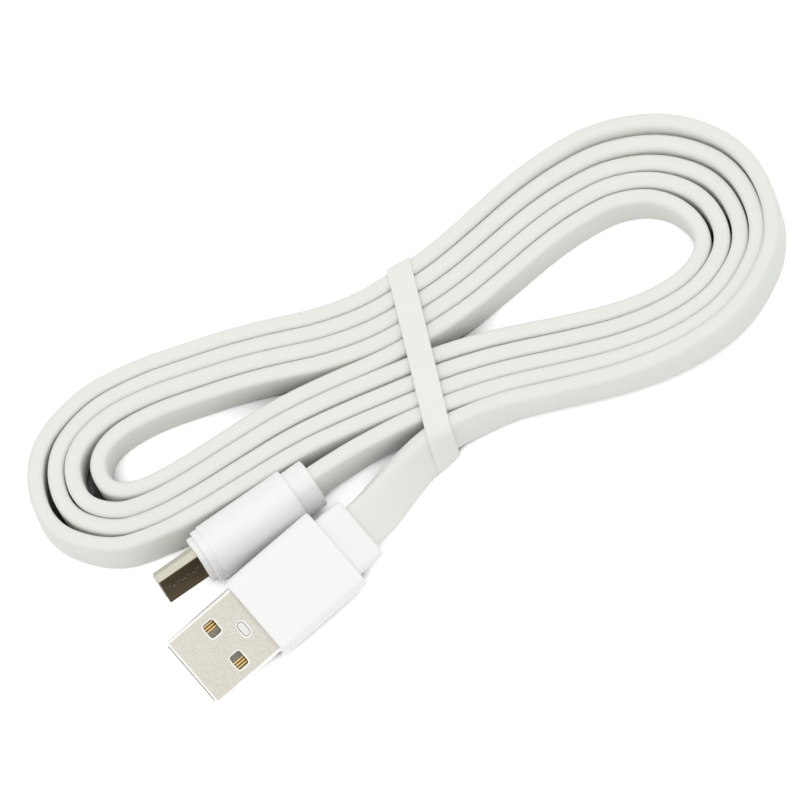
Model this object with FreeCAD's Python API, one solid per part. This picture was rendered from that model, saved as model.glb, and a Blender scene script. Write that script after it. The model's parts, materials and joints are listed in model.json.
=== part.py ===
"""A flat-ribbon charging cable: a hank held by a band, with a USB-A plug and a Micro-B plug beside it.

Millimetres, +Z up. The origin is under the middle of the whole cable, on the surface it lies on.
Each plug is drawn along its own X, from the shell's front edge at 0 towards the ribbon, with Y
across its width and Z through its thickness, and is then laid in its place.
"""
import FreeCAD, Part
import math
import os

# Ribbon and its hank
ribbon_width = 7.3
ribbon_thickness = 2.45
turn_pitch = 2.5
hank_height = 8.5
right_turns = 5
left_turns = 4
right_gaps = (0.9, 0.1, 0.9, 0.9)  # widest gap between each two turns, at the loop's end
left_gaps = (1.2, 0.45, 2.0)
right_widest = 0.5  # where along a turn these gaps are widest, as a share of its points
left_widest = 0.52
right_spread = 0.08  # and over which share of them they open
left_spread = 0.095
right_loop = [(-3.5, 9), (4, 10), (11.5, 11.5), (19, 14), (26, 16.5), (32.5, 18), (38.5, 18.5), (44, 16.5),
              (47.5, 12), (48, 7), (44.5, 3.5), (39, 2), (31.5, 2), (23, 3.5), (13.5, 5.5), (4.5, 6.5),
              (-3.5, 6.5)]
left_loop = [(-3.5, 11.5), (-11.5, 12), (-18.5, 13.5), (-25, 14.5), (-31, 15), (-38, 15.5), (-45, 14.5),
             (-48.5, 11.5), (-48.5, 8), (-47, 6), (-43.5, 5), (-37.5, 5.5), (-29.5, 7), (-21, 8.5),
             (-12.5, 9), (-3.5, 9)]
right_opening_x = 5.0  # each opening is cut from here to its loop's end
left_opening_x = -14.5
lane_9_end_x = -2.0  # where the tail to the Micro-B plug leaves the hank
lane_10_end_x = 12.0  # where the tail to the USB-A plug leaves the hank

# Tails: x, y and z of the ribbon's middle, and its lean from upright in degrees, top edge away
tail_a_route = [(9.5, -4.5, 4.4, 7), (7, -4.5, 4.5, 9), (4.5, -4.6, 4.6, 10), (2.2, -4.7, 4.6, 12),
                (0.2, -5.3, 4.6, 17), (-1.9, -6.1, 4.6, 24), (-4.4, -7.1, 3.95, 32), (-7.3, -8.5, 3.65, 41),
                (-10.3, -10.35, 3.9, 51), (-13.2, -12.3, 4.6, 62)]
tail_b_route = [(-6, -1.7, 4.45, 2), (-9.5, -2.1, 4.5, 3), (-14, -2.8, 4.7, 5)]
tail_b_lean = 6.0

# Band round the waist
tie_width = 3.8
tie_thickness = 0.7
tie_skew = -8.5
tie_x = 1.0
tie_far_y = 21.1
tie_near_y = ((-6.9, -10.2), (-6.0, -7.9))  # top and bottom of the near side, at the left and right edge
tie_corner = 1.0  # inner radius of its four bends

# Cores of the ribbon
core_names = ("red", "white", "green", "black")
core_diameter = 0.9
core_pitch = 1.6
solder_length = 1.2
solder_rise = 0.7  # how far a core's middle stands over its tail, as a share of its radius
core_bend = 0.5

# USB-A plug
plug_a_tip = (-47.22, -24.52)
plug_a_heading = 19.3
plug_a_lean = 20.0
a_shell_width = 12.0
a_shell_height = 4.5
a_shell_wall = 0.3
a_shell_corner = 0.6
a_shell_exposed = 12.2
a_shell_hidden = 5.5
a_lip_radius = 0.28
a_lip_curl = 0.08
a_window_length = 2.0
a_window_width = 2.45
a_window_corner = 0.45
a_window_front = 5.45
a_window_y = 3.05
a_key_slot_x = 10.0
a_key_slot_length = 1.3
a_key_slot_width = 2.5
a_seam_width = 0.1
a_seam_depth = 0.12
a_seam_jog = 0.8
a_seam_step = 2.4
a_tongue_thickness = 1.84
a_tongue_front = 0.5
a_tongue_round = 0.4
a_block_front = 9.0
a_block_hidden = 4.3
a_tongue_gap = 0.02
a_ledge_width = 8.8
a_boss_share = 0.75
a_boss_sunk = 0.1
a_contact_thickness = 0.3
a_contact_proud = 0.08
a_contact_tail = 3.4
a_contact_groove = 0.2
a_groove_spacing = 0.5
a_data_contact = (1.0, 1.0, 2.2)  # width, offset from the middle, front end
a_power_contact = (1.3, 3.5, 1.3)
a_mould_side = 0.05  # thickness of the inner mould beside the shell
a_mould_rise = 0.35  # and above and below it
a_sleeve_length = 16.1
a_sleeve_corner = 1.5
a_sleeve_wall = 0.9
a_sleeve_edge = 0.25
a_front_recess = 0.3
a_collar_width = 10.4
a_collar_height = 5.0
a_collar_length = 4.8
a_collar_corner = 1.1
a_collar_edge = 0.3
a_room_rear = 2.5  # thickness of the mould behind the room for the cores
a_room_width = 9.6
a_room_corner = 0.3

# Micro-B plug
plug_b_tip = (-46.8, -10.2)
plug_b_heading = 12.85
plug_b_lean = 70.0
b_shell_wide = 6.85
b_shell_narrow = 5.4
b_shell_height = 1.8
b_shell_wall = 0.25
b_shell_corner = 0.35
b_lip_radius = 0.125
b_front_corner = 0.5  # of the shell's front edge, seen from above
b_shell_exposed = 7.0
b_shell_hidden = 3.0
b_shell_offset = 0.4
b_seam_width = 0.1
b_seam_depth = 0.1
b_seam_y = 0.4
b_seam_jog = 0.35
b_seam_step = 0.85
b_window_front = 1.3
b_window_length = 1.4
b_window_width = 0.75
b_latch_y = 2.35
b_latch_width = 0.35
b_latch_thickness = 0.6
b_latch_top = 0.05
b_latch_front = 1.2
b_latch_hinge = 8.0
b_hook_front = 1.5
b_hook_length = 0.9
b_hook_reach = 0.4
b_plate_front = 0.9
b_plate_bottom = 0.1
b_plate_half_width = 1.95
b_block_front = 6.0
b_block_hidden = 2.2
b_contact_count = 5
b_free_contact = 3  # the fourth contact has no core
b_contact_pitch = 0.65
b_contact_width = 0.35
b_contact_thickness = 0.15
b_contact_rise = 0.15
b_contact_front = 1.3
b_nose_centre = 2.1
b_nose_radius = 0.9
b_nose_drop = 0.3
b_slot_clearance = 0.05
b_tail_pitch = 1.2
b_tail_thickness = 0.2
b_tail_length = 3.2
b_flange_width = 8.4
b_flange_height = 4.9
b_flange_length = 1.0
b_flange_corner = 2.0
b_flange_edge = 0.25
b_mould_side = 0.775
b_mould_rise = 1.5
b_sleeve_length = 16.1
b_sleeve_corner = 2.9
b_sleeve_wall = 0.8
b_sleeve_edge = 0.3
b_collar_width = 8.8
b_collar_height = 5.2
b_collar_length = 3.6
b_collar_corner = 2.3
b_collar_edge = 0.3
b_room_rear = 2.2
b_room_height = 3.8
b_room_width = 7.0
b_room_corner = 0.6

far = 60.0  # half size of a block that cuts everything on one side
past = 1.0  # how far a cutter runs past what it cuts
touching = 1e-6  # two places closer than this are the same
corner_share = 0.48  # the most of a bar's width or height that one rounded corner takes
arc_share = 0.45  # the share of the shorter run that the arc at a point of a tail takes up
spline_degree = 2
arc_tolerance = 0.02  # how far the arcs of a turn's outline may lie from its smooth curve
upright = 90.0  # degrees between a ribbon that lies flat and one on its edge


def vector(x, y, z):
    return FreeCAD.Vector(x, y, z)


def box(x0, x1, y0, y1, z0, z1):
    """A block between two corners."""
    return Part.makeBox(x1 - x0, y1 - y0, z1 - z0, vector(x0, y0, z0))


def along_x(shape):
    """The shape's straight edges that run along X."""
    found = []
    for edge in shape.Edges:
        ends = [v.Point for v in edge.Vertexes]
        if len(ends) == 2 and math.dist(ends[0][1:], ends[1][1:]) < touching:
            found.append(edge)
    return found


def rim_at(shape, x):
    """The edges that lie in the plane at x."""
    return [e for e in shape.Edges
            if abs(e.BoundBox.XMin - x) < touching and abs(e.BoundBox.XMax - x) < touching]


def bar(x0, x1, width, height, corner, y=0.0, z=0.0):
    """A bar along X with rounded long edges."""
    block = box(x0, x1, y - width / 2, y + width / 2, z - height / 2, z + height / 2)
    return block.makeFillet(min(corner, corner_share * min(width, height)), along_x(block))


def rounded_end(shape, x, radius):
    """The shape with the rim at x rounded."""
    return shape.makeFillet(radius, rim_at(shape, x))


def bevelled_end(shape, x, size):
    """The shape with the rim at x cut off at 45 degrees."""
    return shape.makeChamfer(size, rim_at(shape, x))


def cylinder_x(x0, x1, radius, y=0.0, z=0.0):
    return Part.makeCylinder(radius, x1 - x0, vector(x0, y, z), vector(1, 0, 0))


def rounded_outline(points, radius):
    """A closed wire of straight runs joined by tangent arcs of that radius."""
    arcs = []
    for before, corner, after in zip(points[-1:] + points[:-1], points, points[1:] + points[:1]):
        back = before.sub(corner).normalize()
        ahead = after.sub(corner).normalize()
        half = back.getAngle(ahead) / 2
        reach = radius / math.tan(half)
        middle = corner.add(back.add(ahead).normalize() * (radius / math.sin(half) - radius))
        arcs.append((corner.add(back * reach), middle, corner.add(ahead * reach)))
    edges = []
    for arc, following in zip(arcs, arcs[1:] + arcs[:1]):
        edges.append(Part.Arc(*arc).toShape())
        edges.append(Part.makeLine(arc[2], following[0]))
    return Part.Wire(edges)


def core(points):
    """An insulated core that leaves its first point along X, with mitred bends."""
    section = Part.Wire(Part.makeCircle(core_diameter / 2, points[0], vector(1, 0, 0)))
    mitred = 1
    return Part.makePolygon(points).makePipeShell([section], True, False, mitred)


def spread_places(count, pitch):
    """Places of a row of that many things about the middle, from the +Y side down."""
    return [((count - 1) / 2 - i) * pitch for i in range(count)]


def laid(shape, tip, axis_z, heading, lean):
    """A plug's piece in its place: turned about its length by lean, then set down along heading."""
    placed = shape.copy()
    placed.rotate(vector(0, 0, 0), vector(1, 0, 0), lean)
    placed.rotate(vector(0, 0, 0), vector(0, 0, 1), heading)
    placed.translate(vector(tip[0], tip[1], axis_z))
    return placed


def resting_height(width, height, corner, lean):
    """How high the middle of a rounded bar lies when it rests at that lean."""
    turn = math.radians(lean)
    across = (width / 2 - corner) * math.sin(turn)
    through = (height / 2 - corner) * math.cos(turn)
    return across + through + corner


# USB-A plug

a_inner_width = a_shell_width - 2 * a_shell_wall
a_inner_height = a_shell_height - 2 * a_shell_wall
a_shell_rear = a_shell_exposed + a_shell_hidden
a_block_rear = a_shell_exposed + a_block_hidden
a_sleeve_front = a_shell_exposed
a_sleeve_rear = a_sleeve_front + a_sleeve_length
a_collar_rear = a_sleeve_rear + a_collar_length
a_mould_width = a_shell_width + 2 * a_mould_side
a_mould_height = a_shell_height + 2 * a_mould_rise
a_mould_corner = a_sleeve_corner - a_sleeve_wall
a_sleeve_width = a_mould_width + 2 * a_sleeve_wall
a_sleeve_height = a_mould_height + 2 * a_sleeve_wall
a_mould_front = a_sleeve_front + a_front_recess
a_tongue_top = -a_inner_height / 2 + a_tongue_thickness
a_contact_end = a_block_rear + a_contact_tail


def a_shell_outside(x1):
    """The outside of the shell, as a full bar up to x1, with its rolled front edge."""
    body = bar(0, x1, a_shell_width, a_shell_height, a_shell_corner)
    return rounded_end(body, 0, a_lip_radius)


def a_windows():
    """Cutters for the two windows in each broad face."""
    cutters = []
    for y in (-a_window_y, a_window_y):
        low = y - a_window_width / 2
        cutter = box(a_window_front, a_window_front + a_window_length, low, low + a_window_width,
                     -a_shell_height, a_shell_height)
        corners = [e for e in cutter.Edges if e.BoundBox.ZLength > a_shell_height]
        cutters.append(cutter.makeFillet(a_window_corner, corners))
    return cutters


def key_slot(length, width, z0, z1):
    """An oval across the plug, between two heights."""
    straight = width - length
    left = Part.makeCylinder(length / 2, z1 - z0, vector(a_key_slot_x, -straight / 2, z0))
    right = Part.makeCylinder(length / 2, z1 - z0, vector(a_key_slot_x, straight / 2, z0))
    half = length / 2
    middle = box(a_key_slot_x - half, a_key_slot_x + half, -straight / 2, straight / 2, z0, z1)
    return middle.fuse([left, right]).removeSplitter()


def seam(x0, x1, y, jog, step, width, z0, z1):
    """A folded shell's joint: a narrow groove that steps from side to side."""
    pieces = []
    count = max(2, int((x1 - x0) / step))
    run = (x1 - x0) / count
    for i in range(count):
        side = y + (jog if i % 2 else 0)
        at = x0 + i * run
        pieces.append(box(at, at + run, side - width / 2, side + width / 2, z0, z1))
        if i:
            pieces.append(box(at - width / 2, at + width / 2, y - width / 2, y + jog + width / 2, z0, z1))
    return pieces[0].fuse(pieces[1:]).removeSplitter()


def usb_a_shell():
    inside = bar(a_shell_wall, a_shell_rear + past, a_inner_width, a_inner_height,
                 a_shell_corner - a_shell_wall)
    mouth = box(-past, past, -a_inner_width / 2 + a_lip_curl, a_inner_width / 2 - a_lip_curl,
                -a_inner_height / 2 + a_lip_curl, a_inner_height / 2 - a_lip_curl)
    slot = key_slot(a_key_slot_length, a_key_slot_width, 0, a_shell_height)
    joint = seam(-past, a_shell_rear + past, 0, a_seam_jog, a_seam_step, a_seam_width,
                 -a_shell_height / 2 - past, -a_shell_height / 2 + a_seam_depth)
    return a_shell_outside(a_shell_rear).cut([inside, mouth, slot, joint] + a_windows())


def a_contact_rows():
    """Width, middle and front end of the four contacts, from the power side to the ground side."""
    rows = []
    for width, offset, front in (a_power_contact, a_data_contact):
        rows.append((width, offset, front))
        rows.append((width, -offset, front))
    return sorted(rows, key=lambda row: -row[1])


def a_contact(width, y, front):
    """A contact strip with a rolled nose, lying in the tongue and running out of the block as a tail."""
    top = a_tongue_top + a_contact_proud
    strip = box(front, a_contact_end, y - width / 2, y + width / 2, top - a_contact_thickness, top)
    nose = [e for e in rim_at(strip, front) if abs(e.BoundBox.ZMin - top) < touching]
    strip = strip.makeFillet(a_contact_thickness / 2, nose)
    grooves = []
    for middle in (y - a_groove_spacing / 2, y + a_groove_spacing / 2):
        grooves.append(box(front + a_contact_thickness, a_block_front, middle - a_contact_groove / 2,
                           middle + a_contact_groove / 2, top - a_contact_proud, top + past))
    return strip.cut(grooves)


def usb_a_tongue(contacts):
    """The insulator: a tongue in the open half of the shell and a block that fills the shell behind it."""
    low = -a_inner_height / 2
    corner = a_shell_corner - a_shell_wall
    block = bar(a_block_front, a_block_rear, a_inner_width, a_inner_height, corner)
    tongue = bar(a_tongue_front, a_block_front, a_inner_width, a_inner_height, corner)
    tongue = tongue.cut(box(-past, a_block_front, -far, far, a_tongue_top, far))
    side = a_inner_width / 2 - a_lip_curl - a_tongue_gap
    tongue = tongue.cut([box(-past, a_block_front, -far, -side, -far, far),
                         box(-past, a_block_front, side, far, -far, far)])
    front = [e for e in rim_at(tongue, a_tongue_front) if abs(e.BoundBox.ZMin - a_tongue_top) < touching]
    tongue = tongue.makeFillet(a_tongue_round, front)
    ledge = box(a_block_rear, a_contact_end - a_contact_thickness, -a_ledge_width / 2, a_ledge_width / 2,
                low, a_tongue_top)
    boss = key_slot(a_key_slot_length * a_boss_share, a_key_slot_width * a_boss_share, 0,
                    a_shell_height / 2 - a_boss_sunk)
    made = block.fuse([tongue, ledge, boss]).removeSplitter()
    return made.cut(contacts)


def a_room():
    """The room inside the inner mould that holds the shell's rear, the ledge and the cores."""
    rear = a_sleeve_rear - a_room_rear
    return bar(a_shell_rear, rear, a_room_width, a_inner_height, a_room_corner)


def ribbon_slot(x0, x1, turn):
    """The slot that the ribbon's cores run through, turned from the plug's width."""
    half = core_pitch * (len(core_names) - 1) / 2 + core_diameter / 2
    slot = box(x0, x1, -half, half, -core_diameter / 2, core_diameter / 2)
    slot.rotate(vector(0, 0, 0), vector(1, 0, 0), turn)
    return slot


def usb_a_inner_mould():
    """The mould round the shell's rear, with the collar that the ribbon leaves by."""
    block = bar(a_mould_front, a_sleeve_rear, a_mould_width, a_mould_height, a_mould_corner)
    collar = bar(a_sleeve_rear, a_collar_rear, a_collar_width, a_collar_height, a_collar_corner)
    collar = bevelled_end(collar, a_collar_rear, a_collar_edge)
    shell = bar(a_mould_front - past, a_shell_rear, a_shell_width, a_shell_height, a_shell_corner)
    cores = ribbon_slot(a_sleeve_rear - a_room_rear - past, a_collar_rear + past, 0)
    return block.fuse(collar).removeSplitter().cut([shell, a_room(), cores])


def usb_a_sleeve():
    """The glossy sleeve: a tube round the mould, closed in front up to the shell."""
    body = bar(a_sleeve_front, a_sleeve_rear, a_sleeve_width, a_sleeve_height, a_sleeve_corner)
    body = bevelled_end(bevelled_end(body, a_sleeve_front, a_sleeve_edge), a_sleeve_rear, a_sleeve_edge)
    inside = bar(a_mould_front, a_sleeve_rear + past, a_mould_width, a_mould_height, a_mould_corner)
    hole = bar(a_sleeve_front - past, a_mould_front, a_shell_width, a_shell_height, a_shell_corner)
    return body.cut([inside, hole])


def solder(x0, x1, y, base):
    """A joint of solder on a tail: a lump as thick as the core that it holds, flat where it wets the tail."""
    radius = core_diameter / 2
    lump = cylinder_x(x0, x1, radius, y, base + radius * solder_rise)
    below = box(x0 - past, x1 + past, y - 2 * radius, y + 2 * radius, base - 2 * radius, base)
    return lump.cut(below)


def a_wiring():
    """The solder joints and cores of the USB-A plug, in its own frame."""
    joints = []
    cores = []
    base = a_tongue_top + a_contact_proud
    height = base + core_diameter / 2 * solder_rise
    start = a_contact_end
    for y, row in zip(spread_places(len(core_names), core_pitch), a_contact_rows()):
        joints.append(solder(start - solder_length, start, row[1], base))
        bend = start + solder_length
        rear = a_sleeve_rear - a_room_rear
        route = [vector(start, row[1], height), vector(bend, row[1], height), vector(rear - core_bend, y, 0),
                 vector(a_collar_rear, y, 0)]
        cores.append(core(route))
    return Part.makeCompound(joints), cores


# Micro-B plug

b_shell_rear = b_shell_exposed + b_shell_hidden
b_block_rear = b_shell_exposed + b_block_hidden
b_flange_rear = b_shell_exposed + b_flange_length
b_sleeve_rear = b_flange_rear + b_sleeve_length
b_collar_rear = b_sleeve_rear + b_collar_length
b_mould_width = b_shell_wide + 2 * b_mould_side
b_mould_height = b_shell_height + 2 * b_mould_rise
b_mould_corner = b_sleeve_corner - b_sleeve_wall
b_sleeve_width = b_mould_width + 2 * b_sleeve_wall
b_sleeve_height = b_mould_height + 2 * b_sleeve_wall
b_inner_height = b_shell_height - 2 * b_shell_wall
b_finger_end = b_block_front - b_slot_clearance
b_finger_top = b_plate_bottom + b_contact_rise + b_contact_thickness
b_ribbon_turn = upright - tail_b_lean - plug_b_lean


def b_section_bar(x0, x1, inset, corner):
    """A bar of the shell's own section, drawn in by inset: broad below, with sloping upper corners."""
    wide = b_shell_wide / 2
    narrow = b_shell_narrow / 2
    half = b_shell_height / 2
    outline = [(-wide, -half), (wide, -half), (wide, 0), (narrow, half), (-narrow, half), (-wide, 0)]
    wire = Part.makePolygon([vector(x0, y, z) for y, z in outline + outline[:1]])
    face = Part.Face(wire)
    if inset:
        face = face.makeOffset2D(-inset, 2)
    solid = face.extrude(vector(x1 - x0, 0, 0))
    solid = solid.makeFillet(corner, along_x(solid))
    solid.translate(vector(0, 0, b_shell_offset))
    return solid


def b_box(x0, x1, y0, y1, z0, z1):
    """A block whose heights are given from the middle of the Micro-B shell."""
    return box(x0, x1, y0, y1, z0 + b_shell_offset, z1 + b_shell_offset)


def b_latch_window(side):
    half = b_window_width / 2
    return b_box(b_window_front, b_window_front + b_window_length, side * b_latch_y - half,
                 side * b_latch_y + half, -b_shell_height, -b_inner_height / 2 + b_shell_wall / 2)


def micro_shell():
    outside = b_section_bar(0, b_shell_rear, 0, b_shell_corner)
    outside = rounded_end(outside, 0, b_lip_radius)
    plan = box(0, b_shell_rear, -b_shell_wide / 2, b_shell_wide / 2, -far, far)
    front = [e for e in plan.Edges if e.BoundBox.ZLength > far and e.BoundBox.XMax < b_front_corner]
    outside = outside.common(plan.makeFillet(b_front_corner, front))
    inside = b_section_bar(-past, b_shell_rear + past, b_shell_wall, b_shell_corner - b_shell_wall)
    joint = seam(-past, b_shell_rear + past, b_seam_y, b_seam_jog, b_seam_step, b_seam_width,
                 b_shell_height / 2 - b_seam_depth + b_shell_offset, b_shell_height + b_shell_offset)
    return outside.cut([inside, joint, b_latch_window(-1), b_latch_window(1)])


def b_latch(side):
    """A latch spring: an arm along one side of the mouth, with a hook that stands out of the shell."""
    y0 = side * b_latch_y - b_latch_width / 2
    y1 = y0 + b_latch_width
    low = b_latch_top - b_latch_thickness
    foot = -b_shell_height / 2 - b_hook_reach
    hook_end = b_hook_front + b_hook_length
    slope = b_hook_length / 2
    outline = [(b_latch_front, b_latch_top), (b_latch_hinge, b_latch_top), (b_latch_hinge, low),
               (hook_end, low), (hook_end, foot), (b_hook_front + slope, foot), (b_hook_front, low),
               (b_latch_front, low)]
    points = [vector(x, y0, z + b_shell_offset) for x, z in outline + outline[:1]]
    return Part.Face(Part.makePolygon(points)).extrude(vector(0, y1 - y0, 0))


def b_finger(y):
    """A contact spring: a flat strip in its slot, with a round nose towards the socket's tongue."""
    low = b_finger_top - b_contact_thickness
    y0 = y - b_contact_width / 2
    strip = b_box(b_contact_front, b_finger_end, y0, y0 + b_contact_width, low, b_finger_top)
    centre = vector(b_nose_centre, y0, low - b_nose_drop + b_nose_radius + b_shell_offset)
    across = vector(0, 1, 0)
    outer = Part.makeCylinder(b_nose_radius, b_contact_width, centre, across)
    inner = Part.makeCylinder(b_nose_radius - b_contact_thickness, b_contact_width, centre, across)
    below = b_box(b_contact_front, b_finger_end, y0, y0 + b_contact_width, -b_shell_height, b_finger_top)
    bulge = outer.common(below)
    return strip.fuse(bulge).cut(inner.common(below)).removeSplitter()


def b_fixed_tails():
    """The fixed rear ends of the contacts, fanned out behind the block for soldering."""
    tails = []
    low = b_finger_top - b_tail_thickness + b_shell_offset
    rear = b_block_rear + b_tail_length
    bend = rear - b_tail_length / 2
    half = b_contact_width / 2
    front = b_block_front + b_slot_clearance
    near_places = spread_places(b_contact_count, b_contact_pitch)
    wide_places = spread_places(b_contact_count, b_tail_pitch)
    for near, wide in zip(near_places, wide_places):
        outline = [(front, near - half), (b_block_rear, near - half), (bend, wide - half),
                   (rear, wide - half), (rear, wide + half), (bend, wide + half),
                   (b_block_rear, near + half), (front, near + half)]
        wire = Part.makePolygon([vector(x, y, low) for x, y in outline + outline[:1]])
        tails.append(Part.Face(wire).extrude(vector(0, 0, b_tail_thickness)))
    return tails


def micro_insulator(tails):
    """The insulator: a slotted plate under the narrow face and a block across the shell behind it."""
    filling = b_section_bar(b_plate_front, b_block_rear, b_shell_wall, b_shell_corner - b_shell_wall)
    front = b_plate_front - past
    mouth = b_box(front, b_block_front, -far, far, -far, b_plate_bottom)
    left = b_box(front, b_block_front, -far, -b_plate_half_width, -far, far)
    right = b_box(front, b_block_front, b_plate_half_width, far, -far, far)
    half = b_contact_width / 2 + b_slot_clearance
    slot_front = b_contact_front - 2 * b_slot_clearance
    slots = []
    for y in spread_places(b_contact_count, b_contact_pitch):
        slots.append(b_box(slot_front, b_block_front, y - half, y + half, -far, far))
    grooves = []
    side_gap = b_latch_width / 2 + 2 * b_slot_clearance
    for side in (-1, 1):
        middle = side * b_latch_y
        grooves.append(b_box(b_block_front - past, b_latch_hinge + b_slot_clearance, middle - side_gap,
                             middle + side_gap, -far, b_latch_top + 3 * b_slot_clearance))
    return filling.cut([mouth, left, right] + slots + grooves + tails)


def b_room():
    """The room inside the inner mould for the shell's rear, the solder joints and the cores."""
    rear = b_sleeve_rear - b_room_rear
    return bar(b_shell_rear, rear, b_room_width, b_room_height, b_room_corner)


def micro_inner_mould():
    """The mould round the shell's rear: a flange in front, a body in the sleeve and a collar behind."""
    flange = bar(b_shell_exposed, b_flange_rear, b_flange_width, b_flange_height, b_flange_corner)
    flange = bevelled_end(flange, b_shell_exposed, b_flange_edge)
    body = bar(b_flange_rear, b_sleeve_rear, b_mould_width, b_mould_height, b_mould_corner)
    collar = bar(b_sleeve_rear, b_collar_rear, b_collar_width, b_collar_height, b_collar_corner)
    collar = bevelled_end(collar, b_collar_rear, b_collar_edge)
    shell = b_section_bar(b_shell_exposed - past, b_shell_rear, 0, b_shell_corner)
    cores = ribbon_slot(b_sleeve_rear - b_room_rear - past, b_collar_rear + past, b_ribbon_turn)
    return flange.fuse([body, collar]).removeSplitter().cut([shell, b_room(), cores])


def micro_sleeve():
    body = bar(b_flange_rear, b_sleeve_rear, b_sleeve_width, b_sleeve_height, b_sleeve_corner)
    body = bevelled_end(bevelled_end(body, b_flange_rear, b_sleeve_edge), b_sleeve_rear, b_sleeve_edge)
    inside = bar(b_flange_rear - past, b_sleeve_rear + past, b_mould_width, b_mould_height, b_mould_corner)
    return body.cut(inside)


def b_wiring():
    """The solder joints and cores of the Micro-B plug, in its own frame. The fourth contact stays free."""
    joints = []
    cores = []
    base = b_finger_top + b_shell_offset
    height = base + core_diameter / 2 * solder_rise
    start = b_block_rear + b_tail_length
    ends = [y for i, y in enumerate(spread_places(b_contact_count, b_tail_pitch))
            if i != b_free_contact]
    turn = math.radians(b_ribbon_turn)
    for at, end in zip(spread_places(len(core_names), core_pitch), ends):
        joints.append(solder(start - solder_length, start, end, base))
        bend = start + solder_length
        rear = b_sleeve_rear - b_room_rear
        y = at * math.cos(turn)
        z = at * math.sin(turn)
        route = [vector(start, end, height), vector(bend, end, height), vector(rear - core_bend, y, z),
                 vector(b_collar_rear, y, z)]
        cores.append(core(route))
    return Part.makeCompound(joints), cores


# Band

def tie_prism(thickness):
    """What the band's inner side goes round, made larger by thickness. The near side is twisted."""
    wires = []
    for x, (near_top, near_bottom) in zip((-tie_width / 2, tie_width / 2), tie_near_y):
        corners = [(tie_far_y, tie_thickness), (tie_far_y, hank_height), (near_top, hank_height),
                   (near_bottom, tie_thickness)]
        wire = rounded_outline([vector(x, y, z) for y, z in corners], tie_corner)
        wires.append(wire.makeOffset2D(thickness) if thickness else wire)
    solid = Part.makeLoft(wires, True, True)
    solid.rotate(vector(0, 0, 0), vector(0, 0, 1), tie_skew)
    solid.translate(vector(tie_x, 0, 0))
    return solid


def tie_band():
    return tie_prism(tie_thickness).cut(tie_prism(0))


# Hank and tails

def smooth_curve(points):
    """A quadratic clamped B-spline with the points as its control points."""
    poles = [vector(x, y, 0) for x, y in points]
    ends = spline_degree + 1
    inner = len(poles) - ends
    curve = Part.BSplineCurve()
    curve.buildFromPolesMultsKnots(poles, [ends] + [1] * inner + [ends], list(range(inner + 2)), False,
                                   spline_degree)
    return curve


right = (right_loop, right_turns, right_gaps, right_widest, right_spread, 1)
left = (left_loop, left_turns, left_gaps, left_widest, left_spread, -1)


def turn_points(loop, turn, edge):
    """One turn's control points, stepped out from the innermost turn and moved sideways by edge."""
    guide, turns, gaps, widest, spread, outward = loop
    last = len(guide) - 1
    points = []
    for i, (x, y) in enumerate(guide):
        before = guide[max(i - 1, 0)]
        after = guide[min(i + 1, last)]
        run = math.dist(before, after)
        share = i / last
        opened = sum(gaps[turn - 1:]) * math.exp(-((share - widest) / spread) ** 2)
        step = (turns - turn) * turn_pitch + opened + edge
        if i in (0, last):
            points.append((x, y + (step if i == 0 else -step)))
        else:
            points.append((x - outward * step * (after[1] - before[1]) / run,
                           y + outward * step * (after[0] - before[0]) / run))
    return points


def loop_prism(loop, turn, edge):
    """What a turn's edge goes round, closed straight across the waist, up to the hank's top."""
    points = turn_points(loop, turn, edge)
    arcs = smooth_curve(points).toBiArcs(arc_tolerance)
    chord = Part.makeLine(vector(*points[-1], 0), vector(*points[0], 0))
    outline = Part.Wire([arc.toShape() for arc in arcs] + [chord])
    prism = Part.Face(outline).extrude(vector(0, 0, hank_height))
    if prism.Volume < 0:
        prism.reverse()
    return prism


def cord_hank(tie):
    """The wound ribbon as one solid: two loops that share a waist, each with its opening."""
    half = ribbon_thickness / 2
    outer = loop_prism(right, 1, half)
    without_lane_10 = loop_prism(right, 2, half)
    without_lane_9 = loop_prism(right, 3, half)
    lower = -far
    waist_y = right_loop[-1][1]
    lane_10 = outer.cut(without_lane_10).common(box(-far, lane_10_end_x, lower, waist_y, -far, far))
    lane_9 = without_lane_10.cut(without_lane_9).common(box(-far, lane_9_end_x, lower, waist_y, -far, far))
    hank = outer.fuse(loop_prism(left, 1, half)).cut([lane_10, lane_9])
    right_hole = loop_prism(right, right_turns, -half).common(box(right_opening_x, far, -far, far, -far, far))
    left_hole = loop_prism(left, left_turns, -half).common(box(-far, left_opening_x, -far, far, -far, far))
    return hank.cut([right_hole, left_hole, tie]).removeSplitter()


def ribbon_section(point, lean, heading):
    """The ribbon's cross-section at a point, square to its heading and leaning from upright."""
    turn = math.radians(lean)
    side = vector(math.sin(heading), -math.cos(heading), 0)
    up = vector(0, 0, 1)
    across = (side * math.sin(turn) + up * math.cos(turn)) * (ribbon_width / 2)
    through = (side * math.cos(turn) - up * math.sin(turn)) * (ribbon_thickness / 2)
    corners = [point + across * a + through * b for a, b in ((-1, -1), (1, -1), (1, 1), (-1, 1), (-1, -1))]
    return Part.makePolygon(corners)


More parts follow.
